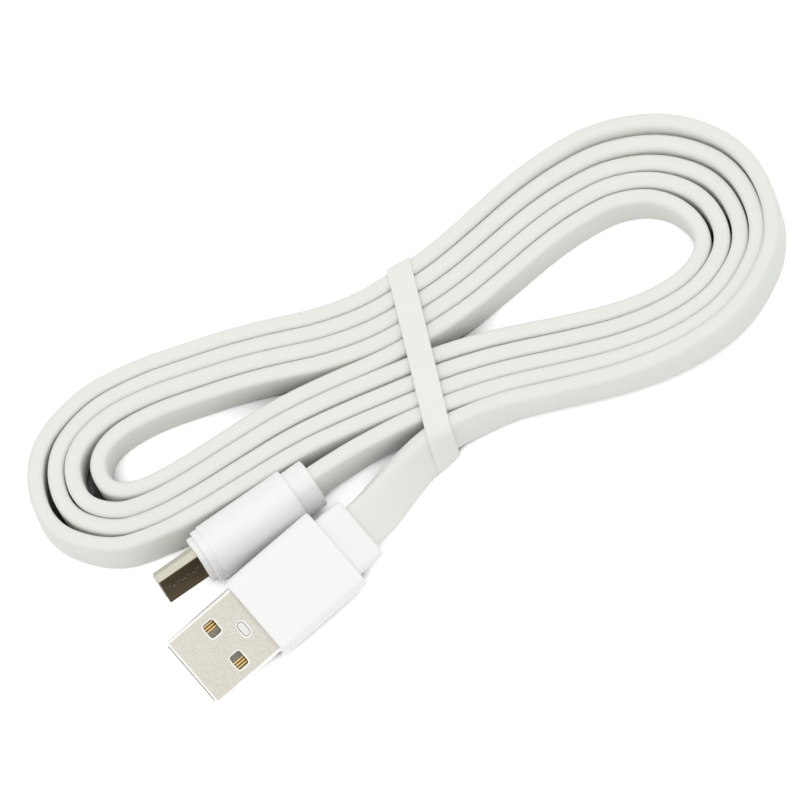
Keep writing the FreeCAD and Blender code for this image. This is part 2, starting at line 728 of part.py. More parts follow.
def ribbon_tail(name, stations, first_heading, last_heading):
    """A straight-sided ribbon through its stations. Its bends and volume are printed."""
    points = [vector(x, y, z) for x, y, z, lean in stations]
    last = len(points) - 1
    sections = []
    radii = []
    for i, point in enumerate(points):
        before = points[max(i - 1, 0)]
        after = points[min(i + 1, last)]
        heading = math.atan2(after.y - before.y, after.x - before.x)
        if i == 0:
            heading = first_heading
        elif i == last:
            heading = last_heading
        else:
            turn = point.sub(before).getAngle(after.sub(point))
            shorter = min(point.sub(before).Length, after.sub(point).Length)
            radii.append(arc_share * shorter / math.tan(turn / 2))
        sections.append(ribbon_section(point, stations[i][3], heading))
    solid = Part.makeLoft(sections, True, True)
    length = sum(b.sub(a).Length for a, b in zip(points, points[1:]))
    share = solid.Volume / (length * ribbon_width * ribbon_thickness)
    print(name, "length", round(length, 1), "volume share", round(share, 3),
          "bend radii", [round(r, 1) for r in radii])
    return solid


def lane_end(turn, x):
    """Where a lane's middle meets the plane at x on the lower side of the right loop."""
    points = turn_points(right, turn, 0)
    line = Part.makeLine(vector(x, -far, 0), vector(x, right_loop[-1][1], 0))
    return line.distToShape(smooth_curve(points).toShape())[1][0][0]


def cord_tail(name, turn, end_x, route, tip, axis_z, heading, collar_rear, end_lean):
    """A tail from where its lane leaves the hank to the middle of the plug's collar."""
    start = lane_end(turn, end_x)
    way = math.radians(heading)
    end = (tip[0] + collar_rear * math.cos(way), tip[1] + collar_rear * math.sin(way), axis_z, end_lean)
    stations = [(start.x, start.y, hank_height / 2, 0)] + route + [end]
    return ribbon_tail(name, stations, math.pi, math.pi + way)


def main():
    os.makedirs("parts", exist_ok=True)
    a_axis = resting_height(a_sleeve_width, a_sleeve_height, a_sleeve_corner, plug_a_lean)
    b_axis = resting_height(b_sleeve_width, b_sleeve_height, b_sleeve_corner, plug_b_lean)
    pieces = {}

    contacts = [a_contact(*row) for row in a_contact_rows()]
    contact_names = ("power", "data_minus", "data_plus", "ground")
    joints, cores = a_wiring()
    plug_a = {"usb_a_shell": usb_a_shell(), "usb_a_tongue": usb_a_tongue(contacts),
              "usb_a_inner_mould": usb_a_inner_mould(), "usb_a_sleeve": usb_a_sleeve(),
              "usb_a_solder_joints": joints}
    for name, contact in zip(contact_names, contacts):
        plug_a["usb_a_contact_" + name] = contact
    for name, made in zip(core_names, cores):
        plug_a["usb_a_core_" + name] = made
    for name, shape in plug_a.items():
        pieces[name] = laid(shape, plug_a_tip, a_axis, plug_a_heading, plug_a_lean)

    tails = b_fixed_tails()
    joints, cores = b_wiring()
    plug_b = {"micro_shell": micro_shell(), "micro_insulator": micro_insulator(tails),
              "micro_contact_tails": Part.makeCompound(tails), "micro_latch_left": b_latch(-1),
              "micro_latch_right": b_latch(1), "micro_inner_mould": micro_inner_mould(),
              "micro_sleeve": micro_sleeve(), "micro_solder_joints": joints}
    for i, y in enumerate(spread_places(b_contact_count, b_contact_pitch)):
        plug_b["micro_contact_%d" % (i + 1)] = b_finger(y)
    for name, made in zip(core_names, cores):
        plug_b["micro_core_" + name] = made
    for name, shape in plug_b.items():
        pieces[name] = laid(shape, plug_b_tip, b_axis, plug_b_heading, plug_b_lean)

    pieces["tie_band"] = tie_band()
    pieces["cord_hank"] = cord_hank(pieces["tie_band"])
    pieces["cord_tail_a"] = cord_tail("cord_tail_a", 1, lane_10_end_x, tail_a_route, plug_a_tip, a_axis,
                                      plug_a_heading, a_collar_rear, upright - plug_a_lean)
    pieces["cord_tail_b"] = cord_tail("cord_tail_b", 2, lane_9_end_x, tail_b_route, plug_b_tip, b_axis,
                                      plug_b_heading, b_collar_rear, tail_b_lean)

    for name, shape in pieces.items():
        if not shape.isValid():
            print("not valid:", name)
        print(name, len(shape.Solids), "solid, volume", round(shape.Volume, 2))
        shape.exportStep("parts/" + name + ".step")


main()
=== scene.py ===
"""A flat-ribbon charging cable, wound into a banded hank, with its two plugs lying beside it."""
import bmesh
import bpy
import json
import math
from mathutils import Matrix, Vector

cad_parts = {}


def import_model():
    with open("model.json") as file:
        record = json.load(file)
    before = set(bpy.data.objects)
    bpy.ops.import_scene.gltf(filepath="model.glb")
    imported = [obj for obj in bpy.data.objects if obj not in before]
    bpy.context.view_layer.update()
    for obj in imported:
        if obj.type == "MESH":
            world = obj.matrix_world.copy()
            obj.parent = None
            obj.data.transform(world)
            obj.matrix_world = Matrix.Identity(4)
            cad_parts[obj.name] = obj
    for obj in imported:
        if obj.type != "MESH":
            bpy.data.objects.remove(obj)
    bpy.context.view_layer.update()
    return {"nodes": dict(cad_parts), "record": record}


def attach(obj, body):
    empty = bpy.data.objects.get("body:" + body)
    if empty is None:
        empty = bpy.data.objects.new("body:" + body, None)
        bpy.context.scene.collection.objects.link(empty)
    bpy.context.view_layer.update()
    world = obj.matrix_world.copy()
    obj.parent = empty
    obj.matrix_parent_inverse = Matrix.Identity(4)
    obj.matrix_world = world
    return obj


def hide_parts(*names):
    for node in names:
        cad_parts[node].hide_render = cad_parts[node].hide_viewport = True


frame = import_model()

# Ribbon and its hank, in metres
RIBBON_WIDTH = 0.0073
RIBBON_THICKNESS = 0.00245
RIBBON_CORNER = 0.0008
RIBBON_SUNK = 0.0008  # how far its ends reach into the collars of the plugs
TURN_PITCH = 0.0025
RIGHT_TURNS = 5
LEFT_TURNS = 4
RIGHT_GAPS = (0.0006, 0.0006, 0.00075, 0.0009)  # widest gap between each two turns, at the loop's end
LEFT_GAPS = (0.00125, 0.0005, 0.002, 0.0005)  # the last of these widens the innermost turn itself
RIGHT_WIDEST = (0.45, 0.48, 0.51, 0.52)  # where along a turn each gap is widest, as a share of its points
LEFT_WIDEST = (0.53, 0.52, 0.52, 0.52)
RIGHT_SPREAD = (0.11, 0.09, 0.075, 0.07)  # and over which share of them it opens
LEFT_SPREAD = (0.1, 0.095, 0.095, 0.095)
NEAR_SPREAD = 0.2
RIGHT_NEAR_GAPS = (0.0, 0.0, 0.0001, 0.0003)  # between each two turns at the waist's near side
LEFT_NEAR_GAPS = (0.0001, 0.0003, 0.0)
RIGHT_LOOP = [(-0.0035, 0.009), (0.004, 0.010), (0.0115, 0.0115), (0.019, 0.014), (0.026, 0.0165),
              (0.0325, 0.018), (0.0385, 0.0185), (0.044, 0.0165), (0.0475, 0.012), (0.048, 0.007),
              (0.0445, 0.0035), (0.039, 0.002), (0.0315, 0.002), (0.023, 0.0035), (0.0135, 0.0055),
              (0.0045, 0.0065), (-0.0035, 0.0065)]
LEFT_LOOP = [(-0.0035, 0.0115), (-0.0115, 0.012), (-0.0185, 0.0135), (-0.025, 0.0145), (-0.031, 0.015),
             (-0.038, 0.0155), (-0.045, 0.0145), (-0.0485, 0.0115), (-0.0485, 0.008), (-0.047, 0.006),
             (-0.0435, 0.005), (-0.0375, 0.0055), (-0.0295, 0.007), (-0.021, 0.0085), (-0.0125, 0.009),
             (-0.0035, 0.009)]
RIGHT_LIFTS = (0.0022, 0.0013, 0.0005, 0.0003, 0.0)  # how far each turn climbs at the loop's end
LEFT_LIFTS = (0.0, 0.0, 0.0006, 0.0)
RIGHT_LEANS = ((1, 0.37, 13), (2, 0.37, 6), (3, 0.37, 3), (4, 0.37, 2), (1, 0.62, -8))
LEFT_LEANS = ((1, 0.64, -8), (2, 0.66, -3))  # which turn leans out at the top where, by how many degrees
LEAN_SPREAD = 0.12
WAIST_LIFT = 0.0007  # the turns lie on the band's lower strand there

# Tails: x, y and z of the ribbon's middle, and its lean from upright in degrees, top edge away
TAIL_A = [(0.0095, -0.0045, 0.0044, 7), (0.007, -0.0045, 0.0045, 9), (0.0045, -0.0046, 0.0046, 10),
          (0.0022, -0.0047, 0.0046, 12), (0.0002, -0.0053, 0.0046, 17), (-0.0019, -0.0061, 0.0046, 24),
          (-0.0044, -0.0071, 0.00395, 32), (-0.0073, -0.0085, 0.00365, 41), (-0.0103, -0.01035, 0.0039, 51),
          (-0.0132, -0.0123, 0.0046, 62)]
TAIL_B = [(-0.006, -0.0017, 0.00445, 2), (-0.0095, -0.0021, 0.0045, 3), (-0.014, -0.0028, 0.0047, 5)]
TAIL_B_LEAN = 6
TAIL_A_LANE_POINTS = 2  # points of its last turn that the tail's own points stand in for
ROUTE_STEPS = 12
SAME_PLACE = 0.000001
CORNER_STEPS = 4

# Band round the waist
BAND_WIDTH = 0.0038
BAND_THICKNESS = 0.0006
BAND_X = 0.001
BAND_SKEW = -8.5
BAND_FAR_Y = (0.0213, 0.0224)  # left and right
BAND_TOP = 0.00845
BAND_NEAR = ((-0.0062, -0.0096, 0.001), (-0.0057, -0.0072, 0.0007))  # top, bottom and its height
BAND_CORNER = 0.0007
BAND_EDGE = 0.00012
BAND_NEAR_CORNER = 0.0017
BAND_ROWS = 12

# Blocks that cut or join others
CUT_PAST = 0.001  # how far they reach past what they cut or join
UPRIGHT_HEIGHT = 0.02
ALMOST_ROUND = 0.00001  # what the corners of a round end keep short of a half circle
SHELL_HOLD = 0.0025  # the holes for the shells end this far in front of the sleeves' rear ends

# USB-A plug: its front edge, heading, lean and parts
PLUG_A_TIP = (-0.04722, -0.02452, 0.005243)
PLUG_A_HEADING = 19.3
PLUG_A_LEAN = 20.0
A_SHELL_SIZE = (0.012, 0.0045)
A_SHELL_CORNER = 0.0006
A_SHELL_WALL = 0.0003
A_SHELL_REAR = 0.0177
A_MOUTH_SIZE = (0.0107, 0.0033)
A_LIP = 0.0003
A_WINDOW = (0.002, 0.00245)
A_WINDOW_CORNER = 0.00045
A_WINDOW_MIDDLE = (0.00645, 0.00305)
A_SLOT = (0.0013, 0.0025)
A_SLOT_MIDDLE = 0.01
A_BOSS = (0.00104, 0.00224)
A_BOSS_DROP = 0.00006
A_BOSS_EDGE = 0.00015
A_BOSS_TRIM = (0.01, 0.01)
A_BOSS_TRIM_CORNER = 0.0001
A_RIM = (0.0002, 0.00007)  # width and depth of the sloping rim round each opening
A_SEAM_WIDTH = 0.0001
A_SEAM_DEPTH = 0.00012
A_SEAM_JOG = 0.0008
A_SEAM_STEP = 0.0024
A_CONTACT_WIDTH = 0.0013
A_CONTACT_Y = 0.0035
A_CONTACT_TOP = -0.00003
A_CONTACT_THICKNESS = 0.0003
A_CONTACT_CORNER = 0.00003
A_CONTACT_EDGE = 0.00008
A_CONTACT_ENDS = (0.0013, 0.009, 0.0199)
A_RIDGE = 0.0005
A_RIDGE_PITCH = 0.00046
A_RIDGE_START = 0.0001
A_RIDGE_ROUND = (0.45, 0.3)  # its long edges and its front edge, as shares of its width
A_SLEEVE_FRONT = 0.0122
A_SLEEVE_REAR = 0.0283
A_SLEEVE_SIZE = (0.0139, 0.007)
A_SLEEVE_CORNER = 0.0015
A_SLEEVE_WALL = 0.0009
A_SLEEVE_EDGES = (0.00022, 0.0003)
A_SLEEVE_RECESS = 0.0003  # from its front edge to the inner mould
A_COLLAR_REAR = 0.0331
A_COLLAR_SIZE = (0.0104, 0.005)
A_COLLAR_CORNER = 0.0011
A_COLLAR_EDGE = 0.0004

# Micro-B plug
PLUG_B_TIP = (-0.0468, -0.0102, 0.004976)
PLUG_B_HEADING = 12.85
PLUG_B_LEAN = 70.0
B_SHELL_SIZE = (0.00685, 0.0018)
B_SHELL_LIFT = 0.0004
B_SHELL_CORNER = 0.00035
# Seam of the Micro-B shell: short light strips on two lines, painted highlights of its folded lip
B_SEAM_GLINTS = 7
B_SEAM_FRONT = 0.0007
B_SEAM_STEP = 0.00085
B_SEAM_GLINT_LENGTH = 0.00065
B_SEAM_SIZE = (0.00004, 0.00002)
B_SEAM_ROUND = 0.3
B_SEAM_Y = 0.0004
B_SEAM_JOG = 0.00035
B_FLANGE_FRONT = 0.007
B_FLANGE_SIZE = (0.0084, 0.0049)
B_FLANGE_CORNER = 0.002
B_FLANGE_EDGE = 0.00025
B_SLEEVE_FRONT = 0.008
B_STEP_REAR = 0.0092
B_SLEEVE_REAR = 0.0241
B_SLEEVE_SIZE = (0.010, 0.0064)
B_SLEEVE_CORNER = 0.0029
B_SLEEVE_WALL = 0.0008
B_SLEEVE_EDGES = (0.0001, 0.0003)
B_STEP_INSET = 0.0002
B_STEP_EDGE = 0.0002
B_OVERLAP = 0.0005
B_COLLAR_REAR = 0.0277
B_COLLAR_SIZE = (0.0088, 0.0052)
B_COLLAR_CORNER = 0.0023
B_COLLAR_EDGE = 0.0004

# Camera of the photograph
CAMERA_ELEVATION = 70.0
CAMERA_ROLL = 22.5
CAMERA_DISTANCE = 1.074
CAMERA_TARGET = (-0.0033, 0.0032, 0.00375)
CAMERA_SCALE = 6.7  # pixels per millimetre at the target
IMAGE_SIZE = 800
SENSOR = 36.0
CLIP = (0.01, 10.0)

# Light of the studio below the horizon and overhead, and its lamp
WORLD_LOW = 0.7
WORLD_HIGH = 1.02
LAMP_PLACE = (0.05, -0.2, 0.9)
LAMP_SIZE = 1.2
LAMP_POWER = 1.0

# Floor: how openness to the sky, within that reach, turns into its glow and its tone; where it is least
# open, in the narrow gaps between turns, its tone goes near-black as painted shade
FLOOR_SIZE = 3.0
FLOOR_REACH = 0.006
FLOOR_SAMPLES = 12
FLOOR_OPENNESS = (0.22, 0.42)
FLOOR_GLOW = 0.62
FLOOR_GAP_SHADE = (0.04, 0.04, 0.04, 1.0)
FLOOR_PALE = (0.75, 0.75, 0.75, 1.0)

# Shading that all materials share
GRAIN_DISTANCE = 0.00004
COAT_ROUGHNESS = 0.06
SUBSURFACE_SCALE = 0.001


# Shader node groups

def new_group(name, inputs, outputs):
    group = bpy.data.node_groups.new(name, "ShaderNodeTree")
    for label, kind, value in inputs:
        socket = group.interface.new_socket(name=label, in_out="INPUT", socket_type=kind)
        if value is not None:
            socket.default_value = value
    for label, kind in outputs:
        group.interface.new_socket(name=label, in_out="OUTPUT", socket_type=kind)
    entry = group.nodes.new("NodeGroupInput")
    leave = group.nodes.new("NodeGroupOutput")
    return group, entry, leave


def surface_grain_group():
    """Two close tones in soft clouds, uneven gloss and a fine bump."""
    group, entry, leave = new_group(
        "Surface grain",
        [("Tone", "NodeSocketColor", None), ("Second tone", "NodeSocketColor", None),
         ("Cloud scale", "NodeSocketFloat", 120.0), ("Grain scale", "NodeSocketFloat", 2500.0),
         ("Grain depth", "NodeSocketFloat", 0.2), ("Gloss low", "NodeSocketFloat", 0.4),
         ("Gloss high", "NodeSocketFloat", 0.5)],
        [("Color", "NodeSocketColor"), ("Roughness", "NodeSocketFloat"), ("Normal", "NodeSocketVector")])
    nodes, links = group.nodes, group.links
    place = nodes.new("ShaderNodeTexCoord")
    cloud = nodes.new("ShaderNodeTexNoise")
    cloud.inputs["Detail"].default_value = 3.0
    grain = nodes.new("ShaderNodeTexNoise")
    grain.inputs["Detail"].default_value = 2.0
    mix = nodes.new("ShaderNodeMix")
    mix.data_type = "RGBA"
    gloss = nodes.new("ShaderNodeMapRange")
    bump = nodes.new("ShaderNodeBump")
    bump.inputs["Distance"].default_value = GRAIN_DISTANCE
    for noise, scale in ((cloud, "Cloud scale"), (grain, "Grain scale")):
        links.new(place.outputs["Object"], noise.inputs["Vector"])
        links.new(entry.outputs[scale], noise.inputs["Scale"])
    links.new(cloud.outputs["Fac"], mix.inputs["Factor"])
    links.new(entry.outputs["Tone"], mix.inputs["A"])
    links.new(entry.outputs["Second tone"], mix.inputs["B"])
    links.new(grain.outputs["Fac"], gloss.inputs["Value"])
    links.new(entry.outputs["Gloss low"], gloss.inputs["To Min"])
    links.new(entry.outputs["Gloss high"], gloss.inputs["To Max"])
    links.new(grain.outputs["Fac"], bump.inputs["Height"])
    links.new(entry.outputs["Grain depth"], bump.inputs["Strength"])
    links.new(mix.outputs["Result"], leave.inputs["Color"])
    links.new(gloss.outputs["Result"], leave.inputs["Roughness"])
    links.new(bump.outputs["Normal"], leave.inputs["Normal"])
    return group


def painted_light_by_facing_group():
    """One colour where the surface faces a direction, another where it turns away: painted light and shade
    that follow which way each face is turned.
    """
    group, entry, leave = new_group(
        "Facing",
        [("Facing tone", "NodeSocketColor", None), ("Turned tone", "NodeSocketColor", None),
         ("Direction", "NodeSocketVector", None), ("Turned", "NodeSocketFloat", 0.8),
         ("Facing", "NodeSocketFloat", 0.97)],
        [("Color", "NodeSocketColor")])
    nodes, links = group.nodes, group.links
    place = nodes.new("ShaderNodeTexCoord")
    aim = nodes.new("ShaderNodeVectorMath")
    aim.operation = "DOT_PRODUCT"
    painted_light_by_facing = nodes.new("ShaderNodeMapRange")
    mix = nodes.new("ShaderNodeMix")
    mix.data_type = "RGBA"
    links.new(place.outputs["Normal"], aim.inputs[0])
    links.new(entry.outputs["Direction"], aim.inputs[1])
    links.new(aim.outputs["Value"], painted_light_by_facing.inputs["Value"])
    links.new(entry.outputs["Turned"], painted_light_by_facing.inputs["From Min"])
    links.new(entry.outputs["Facing"], painted_light_by_facing.inputs["From Max"])
    links.new(painted_light_by_facing.outputs["Result"], mix.inputs["Factor"])
    links.new(entry.outputs["Turned tone"], mix.inputs["A"])
    links.new(entry.outputs["Facing tone"], mix.inputs["B"])
    links.new(mix.outputs["Result"], leave.inputs["Color"])
    return group


GRAIN = surface_grain_group()
PAINTED_LIGHT_BY_FACING = painted_light_by_facing_group()


def plug_up(heading, lean):
    """The direction that a plug's broad upper face looks in."""
    turn = Matrix.Rotation(math.radians(heading), 3, "Z") @ Matrix.Rotation(math.radians(lean), 3, "X")
    return turn @ Vector((0, 0, 1))


def grained(name, tone, second_tone, gloss, cloud=120.0, grain=2500.0, depth=0.2, metallic=0.0, coat=0.0,
            subsurface=0.0, painted_light_by_facing=None):
    """A material with the shared grain on a plain shader, and where asked a painted tone on turned faces, a
    painted highlight where it is lighter and painted shade where it is darker.
    """
    material = bpy.data.materials.new(name)
    material.use_nodes = True
    nodes, links = material.node_tree.nodes, material.node_tree.links
    shader = nodes["Principled BSDF"]
    shader.inputs["Metallic"].default_value = metallic
    shader.inputs["Coat Weight"].default_value = coat
    shader.inputs["Coat Roughness"].default_value = COAT_ROUGHNESS
    shader.inputs["Subsurface Weight"].default_value = subsurface
    shader.inputs["Subsurface Radius"].default_value = (1.0, 1.0, 1.0)
    shader.inputs["Subsurface Scale"].default_value = SUBSURFACE_SCALE
    effect = nodes.new("ShaderNodeGroup")
    effect.node_tree = GRAIN
    effect.inputs["Tone"].default_value = (*tone, 1.0)
    effect.inputs["Second tone"].default_value = (*second_tone, 1.0)
    effect.inputs["Cloud scale"].default_value = cloud
    effect.inputs["Grain scale"].default_value = grain
    effect.inputs["Grain depth"].default_value = depth
    effect.inputs["Gloss low"].default_value = gloss[0]
    effect.inputs["Gloss high"].default_value = gloss[1]
    links.new(effect.outputs["Roughness"], shader.inputs["Roughness"])
    # Where asked, the turned tone paints light or shade onto faces by the way they turn
    if painted_light_by_facing is None:
        links.new(effect.outputs["Color"], shader.inputs["Base Color"])
    else:
        direction, turned_tone, turned, faced = painted_light_by_facing
        painted_light_mask = nodes.new("ShaderNodeGroup")
        painted_light_mask.node_tree = PAINTED_LIGHT_BY_FACING
        painted_light_mask.inputs["Direction"].default_value = direction
        painted_light_mask.inputs["Turned tone"].default_value = (*turned_tone, 1.0)
        painted_light_mask.inputs["Turned"].default_value = turned
        painted_light_mask.inputs["Facing"].default_value = faced
        links.new(effect.outputs["Color"], painted_light_mask.inputs["Facing tone"])
        links.new(painted_light_mask.outputs["Color"], shader.inputs["Base Color"])
    links.new(effect.outputs["Normal"], shader.inputs["Normal"])
    return material


UP_A = plug_up(PLUG_A_HEADING, PLUG_A_LEAN)
UP_B = plug_up(PLUG_B_HEADING, PLUG_B_LEAN)
MATERIALS = {
    "ribbon_jacket": grained("Ribbon jacket", (0.845, 0.86, 0.82), (0.81, 0.83, 0.785), (0.42, 0.55),
                             cloud=60.0, grain=1800.0, depth=0.15, subsurface=0.3),
    "sleeve_gloss": grained("Glossy sleeve", (0.95, 0.95, 0.95), (0.935, 0.935, 0.935), (0.16, 0.22),
                            cloud=40.0, grain=500.0, depth=0.03, coat=0.4, subsurface=0.15),
    "mould_white": grained("White mould", (0.94, 0.94, 0.93), (0.92, 0.92, 0.91), (0.32, 0.42),
                           cloud=150.0, grain=2200.0, depth=0.1, subsurface=0.25),
    "tie_band_white": grained("Creamy band", (0.865, 0.875, 0.825), (0.835, 0.845, 0.795), (0.5, 0.62),
                              cloud=200.0, grain=3500.0, depth=0.2),
    # The USB-A shell's lip, the rims round its openings and its long edges take a near-white turned tone, a
    # painted highlight
    "usb_a_shell_steel": grained("Broad shell steel with painted rim highlights", (0.93, 0.895, 0.825), (0.36, 0.34, 0.285), (0.28, 0.5),
                                 cloud=7500.0, grain=4500.0, depth=0.5, metallic=1.0,
                                 painted_light_by_facing=(UP_A, (1.0, 0.99, 0.96), 0.955, 0.99)),
    # The Micro-B shell's near-black broad face is a painted dark reflection, and its pale turned edges are a
    # painted highlight
    "micro_shell_steel": grained("Small shell steel with painted reflection", (0.105, 0.08, 0.046), (0.066, 0.05, 0.029),
                                 (0.25, 0.38), cloud=1500.0, grain=5000.0, depth=0.25, metallic=1.0,
                                 painted_light_by_facing=(UP_B, (0.58, 0.56, 0.47), 0.8, 0.97)),
    # The tongue's tone is darkened to grey as painted shade, for the shade it lies in behind the shell's
    # windows
    "tongue_white": grained("Tongue resin with painted window shade", (0.58, 0.56, 0.49), (0.54, 0.52, 0.45), (0.45, 0.6),
                            cloud=400.0, grain=3000.0, depth=0.3),
    "insulator_black": grained("Insulator resin", (0.03, 0.03, 0.03), (0.05, 0.05, 0.05), (0.4, 0.55),
                               cloud=400.0, grain=3000.0, depth=0.3),
    # The contacts' ridge crests keep a bright gold tone as a painted highlight, and their turned flanks go
    # dark brown as painted shade
    "gilt_contact": grained("Gilt contact with painted ridge light", (1.0, 0.84, 0.48), (0.98, 0.68, 0.26), (0.15, 0.28),
                            cloud=900.0, grain=4000.0, depth=0.15, metallic=1.0,
                            painted_light_by_facing=(UP_A, (0.22, 0.11, 0.02), 0.55, 0.93)),
    "solder": grained("Solder", (0.66, 0.67, 0.69), (0.55, 0.56, 0.58), (0.2, 0.4),
                      cloud=900.0, grain=3000.0, depth=0.4, metallic=1.0),
    "red_core": grained("Red core", (0.55, 0.03, 0.03), (0.48, 0.02, 0.02), (0.35, 0.45)),
    "white_core": grained("White core", (0.85, 0.85, 0.82), (0.80, 0.80, 0.77), (0.35, 0.45)),
    "green_core": grained("Green core", (0.03, 0.30, 0.08), (0.02, 0.25, 0.06), (0.35, 0.45)),
    "black_core": grained("Black core", (0.02, 0.02, 0.02), (0.03, 0.03, 0.03), (0.35, 0.45)),
}


# Pieces

def deselect():
    bpy.ops.object.select_all(action="DESELECT")


def make_active(piece):
    deselect()
    piece.select_set(True)
    bpy.context.view_layer.objects.active = piece


def apply_modifier(piece, kind, **settings):
    make_active(piece)
    modifier = piece.modifiers.new(kind.title(), kind)
    for key, value in settings.items():
        setattr(modifier, key, value)
    bpy.ops.object.modifier_apply(modifier=modifier.name)


def finish_piece(piece, slot, *nodes, body="root", angle=35.0):
    """Gives a piece its material, soft shading and body, and hides the nodes that it stands for."""
    make_active(piece)
    piece.data.materials.clear()
    piece.data.materials.append(MATERIALS[slot])
    bpy.ops.object.shade_smooth_by_angle(angle=math.radians(angle))
    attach(piece, body)
    if nodes:
        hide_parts(*nodes)


def pick_edges(piece, wanted):
    """Selects the edges that the test wants, in edit mode."""
    mesh = bmesh.from_edit_mesh(piece.data)
    for edge in mesh.edges:
        edge.select_set(False)
    for edge in mesh.edges:
        if wanted(edge.verts[0].co, edge.verts[1].co):
            edge.select_set(True)
    bmesh.update_edit_mesh(piece.data)


def plug_block(name, front, rear, size, corner, front_edge=0.0, rear_edge=0.0, steps=10):
    """A bar along a plug's X with rounded long edges, and rounded rims where asked."""
    deselect()
    bpy.ops.mesh.primitive_cube_add(size=1, location=((front + rear) / 2, 0, 0),
                                    scale=(rear - front, size[0], size[1]))
    block = bpy.context.active_object
    block.name = name
    bpy.ops.object.transform_apply(location=True, rotation=False, scale=True)
    bpy.ops.object.mode_set(mode="EDIT")
    bpy.ops.mesh.select_mode(type="EDGE")
    pick_edges(block, lambda a, b: abs(a.x - b.x) > (rear - front) / 2)
    bpy.ops.mesh.bevel(offset=corner, offset_type="OFFSET", segments=steps, affect="EDGES")
    for x, edge in ((front, front_edge), (rear, rear_edge)):
        if edge:
            pick_edges(block, lambda a, b: abs(a.x - x) < 1e-7 and abs(b.x - x) < 1e-7)
            bpy.ops.mesh.bevel(offset=edge, offset_type="OFFSET", segments=4, affect="EDGES")
    bpy.ops.object.mode_set(mode="OBJECT")
    return block


def cut(piece, *cutters):
    for cutter in cutters:
        apply_modifier(piece, "BOOLEAN", operation="DIFFERENCE", solver="EXACT", object=cutter)
        bpy.data.objects.remove(cutter)


def join(piece, *others):
    for other in others:
        apply_modifier(piece, "BOOLEAN", operation="UNION", solver="EXACT", object=other)
        bpy.data.objects.remove(other)


def shrunk(size, wall):
    """What is left of a width and a height inside a wall."""
    return size[0] - 2 * wall, size[1] - 2 * wall


def mesh_piece(name, vertices, faces):
    mesh = bpy.data.meshes.new(name)
    mesh.from_pydata(vertices, [], faces)
    mesh.update()
    piece = bpy.data.objects.new(name, mesh)
    bpy.context.scene.collection.objects.link(piece)
    return piece


def tube_faces(rings, count):
    """Four-sided faces between rings of that many points each."""
    faces = []
    for low in range(0, (rings - 1) * count, count):
        for k in range(count):
            after = (k + 1) % count
            faces.append([low + k, low + after, low + count + after, low + count + k])
    return faces


def plug_place(tip, heading, lean):
    """Where a plug lies: its own X runs from the shell's front edge back to the ribbon."""
    return (Matrix.Translation(tip) @ Matrix.Rotation(math.radians(heading), 4, "Z")
            @ Matrix.Rotation(math.radians(lean), 4, "X"))


# USB-A plug

def sleeve_a(place):
    front_hole = plug_block("hole", A_SLEEVE_FRONT - CUT_PAST, A_SLEEVE_FRONT + CUT_PAST, A_SHELL_SIZE,
                            A_SHELL_CORNER)
    room = plug_block("room", A_SLEEVE_FRONT + A_SLEEVE_RECESS, A_SLEEVE_REAR + CUT_PAST,
                      shrunk(A_SLEEVE_SIZE, A_SLEEVE_WALL), A_SLEEVE_CORNER - A_SLEEVE_WALL)
    sleeve = plug_block("sleeve_a", A_SLEEVE_FRONT, A_SLEEVE_REAR, A_SLEEVE_SIZE, A_SLEEVE_CORNER,
                        front_edge=A_SLEEVE_EDGES[0], rear_edge=A_SLEEVE_EDGES[1])
    cut(sleeve, room, front_hole)
    sleeve.data.transform(place)
    finish_piece(sleeve, "sleeve_gloss", "usb_a_sleeve")


def collar_a(place):
    body = plug_block("collar_a", A_SLEEVE_FRONT + A_SLEEVE_RECESS, A_SLEEVE_REAR,
                      shrunk(A_SLEEVE_SIZE, A_SLEEVE_WALL), A_SLEEVE_CORNER - A_SLEEVE_WALL)
    collar = plug_block("collar", A_SLEEVE_REAR - CUT_PAST, A_COLLAR_REAR, A_COLLAR_SIZE, A_COLLAR_CORNER,
                        rear_edge=A_COLLAR_EDGE)
    join(body, collar)
    hole = plug_block("hole", A_SLEEVE_FRONT - CUT_PAST, A_SLEEVE_REAR - SHELL_HOLD, A_SHELL_SIZE,
                      A_SHELL_CORNER)
    slot = plug_block("slot", A_COLLAR_REAR - CUT_PAST, A_COLLAR_REAR + CUT_PAST,
                      (RIBBON_WIDTH, RIBBON_THICKNESS), RIBBON_CORNER)
    cut(body, hole, slot)
    body.data.transform(place)
    finish_piece(body, "mould_white", "usb_a_inner_mould")


def upright_block(x, y, size, corner):
    """A tall block with rounded upright edges, for cutting a hole of that size."""
    deselect()
    bpy.ops.mesh.primitive_cube_add(size=1, location=(x, y, 0), scale=(size[0], size[1], UPRIGHT_HEIGHT))
    block = bpy.context.active_object
    bpy.ops.object.transform_apply(location=True, rotation=False, scale=True)
    bpy.ops.object.mode_set(mode="EDIT")
    bpy.ops.mesh.select_mode(type="EDGE")
    pick_edges(block, lambda a, b: abs(a.z - b.z) > UPRIGHT_HEIGHT / 2)
    bpy.ops.mesh.bevel(offset=corner, offset_type="OFFSET", segments=5, affect="EDGES")
    bpy.ops.object.mode_set(mode="OBJECT")
    return block


def rim_cutter(x, y, size, corner, height):
    """A tapered block that slopes the plate down to an opening in the face at that height."""
    width, depth = A_RIM
    wide = (size[0] + 4 * width, size[1] + 4 * width)
    block = upright_block(x, y, wide, corner + 2 * width)
    flattened = Matrix.Diagonal((1, 1, depth / (UPRIGHT_HEIGHT / 2), 1))
    block.data.transform(Matrix.Translation((0, 0, height)) @ flattened)
    for vertex in block.data.vertices:
        if (vertex.co.z - height) * height < 0:
            vertex.co.x = x + (vertex.co.x - x) * size[0] / wide[0]
            vertex.co.y = y + (vertex.co.y - y) * size[1] / wide[1]
    return block


